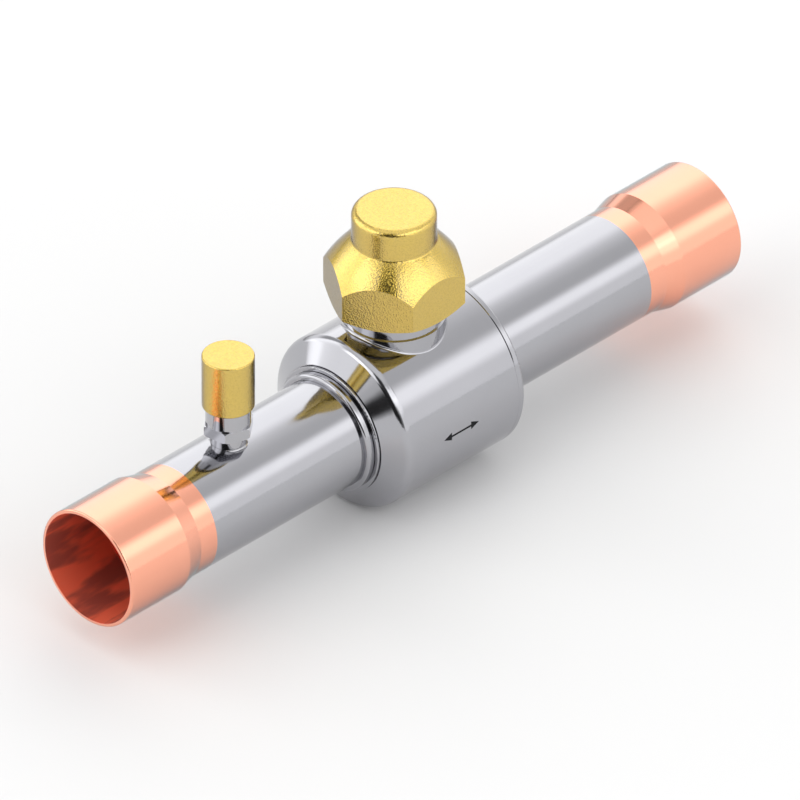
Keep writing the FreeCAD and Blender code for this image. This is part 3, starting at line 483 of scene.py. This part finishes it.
# Seats and washer of white sealing plastic, rings of black rubber
seatLook = {
    "colour": (0.78, 0.77, 0.72),
    "patchColour": (0.70, 0.69, 0.64),
    "roughness": (0.38, 0.5),
    "patchSize": 6 * mm,
    "patchContrast": 1.5,
    "grainSize": 0.3 * mm,
    "grainDepth": 0.006 * mm,
}
rubberLook = dict(seatLook, colour=(0.022, 0.022, 0.024), patchColour=(0.04, 0.04, 0.042),
                  roughness=(0.5, 0.65))
dress(grainySurface("sealingPlastic", seatLook, 0.0), "inlet_seat", "outlet_seat", "thrust_washer",
      "core_seal")
dress(grainySurface("blackRubber", rubberLook, 0.0), "inlet_seat_ring", "outlet_seat_ring",
      "lower_spindle_seal", "upper_spindle_seal", "cap_gasket", "core_disc", "access_cap_seal")
print("finishes on the CAD nodes")


def newShapeTree(name, sizes):
    inputs = {"Geometry": ("NodeSocketGeometry", None)}
    inputs.update((size, ("NodeSocketFloat", None)) for size in sizes)
    inputs["Foot"] = ("NodeSocketVector", None)
    inputs["Finish"] = ("NodeSocketMaterial", None)
    return newGroup(name, inputs, {"Geometry": "NodeSocketGeometry"}, kind="GeometryNodeTree")


def endShapeTree(tree, shape, start, end):
    # Moves the swept shape from the origin to its foot and gives it its material
    placed = addNode(tree, "GeometryNodeTransform", {
        "Geometry": shape,
        "Translation": start["Foot"],
    })
    real = addNode(tree, "GeometryNodeRealizeInstances", {"Geometry": placed.outputs[0]})
    finished = addNode(tree, "GeometryNodeSetMaterial", {
        "Geometry": real.outputs[0],
        "Material": start["Finish"],
    })
    tree.links.new(finished.outputs[0], end["Geometry"])


# Screw threads, one ridge tree for the neck, the seal cap, the port and the port's cap
def makeThreadTree():
    tree, start, end = newShapeTree("threadRidge", (
        "Pitch", "Turns", "Root Radius", "Crest Radius", "Half Width", "Crest Half Width", "Sink"))
    stepsPerTurn = 48
    helix = addNode(tree, "GeometryNodeCurveSpiral", {
        "Resolution": stepsPerTurn,
        "Rotations": start["Turns"],
        "Start Radius": start["Root Radius"],
        "End Radius": start["Root Radius"],
        "Height": addMath(tree, "MULTIPLY", start["Turns"], start["Pitch"]),
        "Reverse": True,
    })
    level = addNode(tree, "GeometryNodeSetCurveNormal", {"Curve": helix.outputs[0]}, mode="Z_UP")
    # The ridge thins out towards both its ends
    runOut = 0.04
    thinnest = 0.15
    factor = addNode(tree, "GeometryNodeSplineParameter").outputs["Factor"]
    nearEnd = addMath(tree, "MINIMUM", factor, addMath(tree, "SUBTRACT", 1.0, factor))
    taper = addNode(tree, "ShaderNodeMapRange", {
        "Value": nearEnd,
        "From Max": runOut,
        "To Min": thinnest,
        "To Max": 1.0,
    })
    # An inner thread rises towards the axis, so its section is walked the other way round
    rise = addMath(tree, "SUBTRACT", start["Crest Radius"], start["Root Radius"])
    side = addMath(tree, "SIGN", rise)
    away = addMath(tree, "MULTIPLY", side, -1.0)
    sink = addMath(tree, "MULTIPLY", away, start["Sink"])

    def corner(out, direction, wide):
        across = addMath(tree, "MULTIPLY", direction, wide)
        return addNode(tree, "ShaderNodeCombineXYZ", {"X": out, "Y": across}).outputs[0]

    section = addNode(tree, "GeometryNodeCurvePrimitiveQuadrilateral", {
        "Point 1": corner(sink, away, start["Half Width"]),
        "Point 2": corner(rise, away, start["Crest Half Width"]),
        "Point 3": corner(rise, side, start["Crest Half Width"]),
        "Point 4": corner(sink, side, start["Half Width"]),
    }, mode="POINTS")
    swept = addNode(tree, "GeometryNodeCurveToMesh", {
        "Curve": level.outputs[0],
        "Profile Curve": section.outputs[0],
        "Scale": taper.outputs[0],
        "Fill Caps": True,
    })
    endShapeTree(tree, swept.outputs[0], start, end)
    return tree


def runTree(name, tree, values):
    # Evaluates a tree on an empty mesh and keeps the result as a plain mesh
    holder = bpy.data.objects.new(name + "Holder", bpy.data.meshes.new(name + "Holder"))
    bpy.context.scene.collection.objects.link(holder)
    modifier = holder.modifiers.new("nodes", "NODES")
    modifier.node_group = tree
    for item in tree.interface.items_tree:
        if item.in_out == "INPUT" and item.name in values:
            modifier[item.identifier] = values[item.name]
    evaluated = holder.evaluated_get(bpy.context.evaluated_depsgraph_get())
    mesh = bpy.data.meshes.new_from_object(evaluated)
    bpy.data.objects.remove(holder)
    mesh.name = name
    piece = bpy.data.objects.new(name, mesh)
    bpy.context.scene.collection.objects.link(piece)
    return piece


def addThread(name, size, axisX, body, carrier):
    values = {
        "Pitch": size["pitch"],
        "Turns": size["turns"],
        "Root Radius": size["root"],
        "Crest Radius": size["crest"],
        "Half Width": size["halfWidth"],
        "Crest Half Width": size["crestHalfWidth"],
        "Sink": size["sink"],
        "Foot": (axisX, 0.0, size["start"]),
        "Finish": nodes[carrier].data.materials[0],
    }
    piece = runTree(name, threadTree, values)
    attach(piece, body)


threadTree = makeThreadTree()
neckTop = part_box("barrel")[1].z

neckThread = {
    "start": neckTop - 9.3 * mm,
    "pitch": 1.5 * mm,
    "turns": 5.6,
    "root": 11.5 * mm,
    "crest": 11.93 * mm,
    "halfWidth": 0.55 * mm,
    "crestHalfWidth": 0.07 * mm,
    "sink": 0.06 * mm,
}
# The caps' ridges lie half a pitch up, in the others' grooves
capThread = dict(neckThread, start=neckThread["start"] + neckThread["pitch"] / 2, turns=5.2,
                 root=12.03 * mm, crest=11.56 * mm)
portThread = {
    "start": portHigh.z - 9.9 * mm,
    "pitch": 1.27 * mm,
    "turns": 5.8,
    "root": 5.15 * mm,
    "crest": 5.52 * mm,
    "halfWidth": 0.46 * mm,
    "crestHalfWidth": 0.06 * mm,
    "sink": 0.05 * mm,
}
portCapThread = dict(portThread, start=portThread["start"] + portThread["pitch"] / 2,
                     root=5.63 * mm, crest=5.21 * mm)
addThread("neck_thread", neckThread, stemX, "valve_body", "barrel")
addThread("seal_cap_thread", capThread, stemX, "spindle_cap", "seal_cap")
addThread("port_thread", portThread, portX, "valve_body", "access_fitting")
addThread("port_cap_thread", portCapThread, portX, "port_cap", "access_cap")
print("threads cut")

# Spring of the charging port's core (the real one shortens as the pin is pressed), built here at
# one fixed length
springSize = {
    "wireRadius": 0.15 * mm,
    "turns": 4.0,
    "stepsPerTurn": 32,
    "wireSides": 10,
}


def makeSpringTree():
    tree, start, end = newShapeTree("coilSpring", ("Coil Radius", "Wire Radius", "Turns", "Height"))
    coil = addNode(tree, "GeometryNodeCurveSpiral", {
        "Resolution": springSize["stepsPerTurn"],
        "Rotations": start["Turns"],
        "Start Radius": start["Coil Radius"],
        "End Radius": start["Coil Radius"],
        "Height": start["Height"],
        "Reverse": True,
    })
    wire = addNode(tree, "GeometryNodeCurvePrimitiveCircle", {
        "Resolution": springSize["wireSides"],
        "Radius": start["Wire Radius"],
    })
    swept = addNode(tree, "GeometryNodeCurveToMesh", {
        "Curve": coil.outputs[0],
        "Profile Curve": wire.outputs[0],
        "Fill Caps": True,
    })
    endShapeTree(tree, swept.outputs[0], start, end)
    return tree


def addCoreSpring():
    low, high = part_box("core_spring")
    wireRadius = springSize["wireRadius"]
    height = high.z - low.z
    values = {
        "Coil Radius": (high.x - low.x) / 2 - wireRadius,
        "Wire Radius": wireRadius,
        "Turns": springSize["turns"],
        "Height": height - 2 * wireRadius,
        "Foot": (portX, 0.0, low.z + wireRadius),
        "Finish": nodes["core_spring"].data.materials[0],
    }
    piece = runTree("port_core_spring", makeSpringTree(), values)
    piece.data.shade_smooth()
    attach(piece, "valve_body")
    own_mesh(piece)
    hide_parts("core_spring")


addCoreSpring()

# Double-headed flow arrow, printed on the barrel's side
arrowLook = {
    "centre": (stemX + 0.2 * mm, 0.0),
    "length": 11.7 * mm,
    "headLength": 2.6 * mm,
    "headHeight": 2.2 * mm,
    "tipHeight": 0.008 * mm,
    "shaftHeight": 0.55 * mm,
    "proud": 0.012 * mm,
    "thickness": 0.03 * mm,
    "step": 0.25 * mm,
    "rows": 8,
    "colour": (0.006, 0.006, 0.007),
    "patchColour": (0.014, 0.014, 0.016),
    "roughness": (0.6, 0.8),
    "shine": 0.15,
    "patchSize": 1.2 * mm,
    "patchContrast": 1.6,
    "grainSize": 0.08 * mm,
    "grainDepth": 0.002 * mm,
}


def makeArrowInk():
    ink = grainySurface("markingInk", arrowLook, 0.0)
    shader = ink.node_tree.nodes["Principled BSDF"]
    shader.inputs["Specular IOR Level"].default_value = arrowLook["shine"]
    return ink


def makeFlowArrow():
    # A closed thin shell: outer face, inner face and the rim between them, wrapped on the barrel
    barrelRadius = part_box("barrel")[1].y
    outer = barrelRadius + arrowLook["proud"]
    inner = outer - arrowLook["thickness"]
    middleX, middleZ = arrowLook["centre"]
    length = arrowLook["length"]
    half = length / 2
    headX = half - arrowLook["headLength"]
    rows = arrowLook["rows"]
    columns = int(round(length / arrowLook["step"]))
    places = sorted({-half + length * i / columns for i in range(columns + 1)} | {-headX, headX})

    def headTall(across):
        share = (half - abs(across)) / arrowLook["headLength"]
        return max(arrowLook["headHeight"] * share, arrowLook["tipHeight"]) / 2

    # Each station has its place along the arrow and its half height; a head's foot has two
    shaftTall = arrowLook["shaftHeight"] / 2
    stations = []
    for across in places:
        if across == -headX:
            stations += [(across, headTall(across)), (across, shaftTall)]
        elif across == headX:
            stations += [(across, shaftTall), (across, headTall(across))]
        else:
            stations.append((across, headTall(across) if abs(across) > headX else shaftTall))

    vertices = []
    for radius in (outer, inner):
        for across, tall in stations:
            for row in range(rows + 1):
                angle = (middleZ + tall * (2 * row / rows - 1)) / barrelRadius
                vertices.append((middleX + across, -radius * math.cos(angle),
                                 radius * math.sin(angle)))
    perFace = len(stations) * (rows + 1)
    faces = []
    for column in range(len(stations) - 1):
        for row in range(rows):
            a = column * (rows + 1) + row
            b = a + rows + 1
            faces.append((a, b, b + 1, a + 1))
            faces.append((a + perFace, a + 1 + perFace, b + 1 + perFace, b + perFace))
    last = (len(stations) - 1) * (rows + 1)
    for column in range(len(stations) - 1):
        low = column * (rows + 1)
        faces.append((low, low + perFace, low + rows + 1 + perFace, low + rows + 1))
        high = low + rows
        faces.append((high, high + rows + 1, high + rows + 1 + perFace, high + perFace))
    for row in range(rows):
        faces.append((row, row + 1, row + 1 + perFace, row + perFace))
        a = last + row
        faces.append((a, a + perFace, a + 1 + perFace, a + 1))
    mesh = bpy.data.meshes.new("flow_arrow")
    mesh.from_pydata(vertices, [], faces)
    mesh.materials.append(makeArrowInk())
    piece = bpy.data.objects.new("flow_arrow", mesh)
    bpy.context.scene.collection.objects.link(piece)
    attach(piece, "valve_body")


makeFlowArrow()
print("flow arrow on the barrel")


# Floor, studio panels and camera
studio = {
    "floorColour": (0.82, 0.82, 0.82),
    "floorRadius": 2.5,
    "floorSides": 96,
    "base": 0.84,
    "darkest": 0.03,
    "overhead": 0.30,
    "overheadRange": (46.0, 70.0),
    "panels": {
        # name: (azimuth, half width, soft sides, lowest, highest, soft ends, strength), in degrees
        "back": (60.0, 58.0, 24.0, 4.0, 53.0, 8.0, 1.04),
        "backGap": (80.0, 18.0, 5.0, 22.0, 56.0, 6.0, -0.75),
        "backDim": (80.0, 18.0, 5.0, -4.0, 56.0, 4.0, -0.52),
        "backLeft": (140.0, 34.0, 8.0, 0.0, 44.0, 5.0, 0.68),
        "horizon": (126.0, 22.0, 6.0, 0.0, 10.0, 2.0, 0.45),
        "left": (166.0, 24.0, 6.0, 27.0, 48.0, 4.0, 1.10),
        "right": (-79.5, 45.5, 12.0, 20.0, 37.0, 6.0, 1.00),
        "rightHigh": (266.0, 33.0, 6.0, 34.0, 50.0, 5.0, 1.20),
        "rightGlow": (-70.0, 48.0, 16.0, -3.0, 20.0, 6.0, 0.42),
        "darkSide": (211.0, 18.0, 5.0, 26.0, 58.0, 5.0, -0.78),
        "darkLow": (220.0, 34.0, 3.0, 1.0, 27.0, 3.0, -0.85),
    },
}


def makeFloor():
    sides = studio["floorSides"]
    radius = studio["floorRadius"]
    angles = [2 * math.pi * i / sides for i in range(sides)]
    ring = [(radius * math.cos(angle), radius * math.sin(angle), cadLow.z) for angle in angles]
    mesh = bpy.data.meshes.new("studio_floor")
    mesh.from_pydata(ring, [], [tuple(range(sides))])
    material = bpy.data.materials.new("paleFloor")
    material.use_nodes = True
    shader = material.node_tree.nodes["Principled BSDF"]
    shader.inputs["Base Color"].default_value = (*studio["floorColour"], 1.0)
    shader.inputs["Roughness"].default_value = 1.0
    shader.inputs["Specular IOR Level"].default_value = 0.0
    mesh.materials.append(material)
    floor = bpy.data.objects.new("studio_floor", mesh)
    bpy.context.scene.collection.objects.link(floor)


panelLabels = ("Centre", "Half Width", "Soft Sides", "Lowest", "Highest", "Soft Ends", "Strength")


def makePanelGroup():
    # Brightness of one soft panel in the direction of an azimuth and elevation, all in degrees
    inputs = {name: ("NodeSocketFloat", 0.0) for name in ("Azimuth", "Elevation", *panelLabels)}
    group, start, end = newGroup("softPanel", inputs, {"Light": "NodeSocketFloat"})

    def fade(value, edge, softness, rising=False):
        return addNode(group, "ShaderNodeMapRange", {
            "Value": value,
            "From Min": addMath(group, "SUBTRACT", edge, softness),
            "From Max": addMath(group, "ADD", edge, softness),
            "To Min": 0.0 if rising else 1.0,
            "To Max": 1.0 if rising else 0.0,
        }, interpolation_type="SMOOTHSTEP").outputs[0]

    turned = addMath(group, "SUBTRACT", start["Azimuth"], start["Centre"])
    away = addMath(group, "ABSOLUTE", addMath(group, "WRAP", turned, 180.0, -180.0))
    light = start["Strength"]
    for edge in (
        fade(away, start["Half Width"], start["Soft Sides"]),
        fade(start["Elevation"], start["Lowest"], start["Soft Ends"], rising=True),
        fade(start["Elevation"], start["Highest"], start["Soft Ends"]),
    ):
        light = addMath(group, "MULTIPLY", light, edge)
    group.links.new(light, end["Light"])
    return group


def makeStudioLight():
    world = bpy.data.worlds.new("studio")
    bpy.context.scene.world = world
    world.use_nodes = True
    tree = world.node_tree
    tree.nodes.clear()
    direction = addNode(tree, "ShaderNodeTexCoord").outputs["Generated"]
    parts = addNode(tree, "ShaderNodeSeparateXYZ", {"Vector": direction}).outputs
    azimuth = addMath(tree, "DEGREES", addMath(tree, "ARCTAN2", parts["Y"], parts["X"]))
    elevation = addMath(tree, "DEGREES", addMath(tree, "ARCSINE", parts["Z"]))
    overhead = addNode(tree, "ShaderNodeMapRange", {
        "Value": elevation,
        "From Min": studio["overheadRange"][0],
        "From Max": studio["overheadRange"][1],
        "To Min": 0.0,
        "To Max": studio["overhead"],
    }, interpolation_type="SMOOTHSTEP").outputs[0]
    light = addMath(tree, "ADD", overhead, studio["base"])
    panelGroup = makePanelGroup()
    for values in studio["panels"].values():
        panel = addNode(tree, "ShaderNodeGroup", {
            "Azimuth": azimuth,
            "Elevation": elevation,
            **dict(zip(panelLabels, values)),
        }, node_tree=panelGroup)
        light = addMath(tree, "ADD", light, panel.outputs["Light"])
    background = addNode(tree, "ShaderNodeBackground", {
        "Color": (1.0, 1.0, 1.0, 1.0),
        "Strength": addMath(tree, "MAXIMUM", light, studio["darkest"]),
    })
    addNode(tree, "ShaderNodeOutputWorld", {"Surface": background.outputs[0]})


cameraLook = {
    "azimuth": -45.0,
    "elevation": 35.0,
    "lens": 1600.0,
    "frameWidth": 191.4 * mm,
    "aimRight": 1.40 * mm,
    "aimDown": 1.70 * mm,
    "clip": (0.5, 4.0),  # nearest and farthest that it sees, as shares of its distance
}


def makeCamera():
    azimuth = math.radians(cameraLook["azimuth"])
    elevation = math.radians(cameraLook["elevation"])
    level = math.cos(elevation)
    back = Vector((math.sin(azimuth) * level, -math.cos(azimuth) * level, math.sin(elevation)))
    turn = (-back).to_track_quat("-Z", "Y")
    right = turn @ Vector((1, 0, 0))
    up = turn @ Vector((0, 1, 0))
    aim = Vector(stemAxis) + right * cameraLook["aimRight"] - up * cameraLook["aimDown"]
    data = bpy.data.cameras.new("camera")
    data.lens = cameraLook["lens"]
    distance = cameraLook["frameWidth"] * data.lens / data.sensor_width
    camera = bpy.data.objects.new("camera", data)
    bpy.context.scene.collection.objects.link(camera)
    camera.location = aim + back * distance
    camera.rotation_mode = "QUATERNION"
    camera.rotation_quaternion = turn
    data.clip_start, data.clip_end = [distance * share for share in cameraLook["clip"]]
    bpy.context.scene.camera = camera


makeFloor()
makeStudioLight()
makeCamera()
bpy.context.scene.view_settings.view_transform = "Standard"
print("floor, light and camera set")
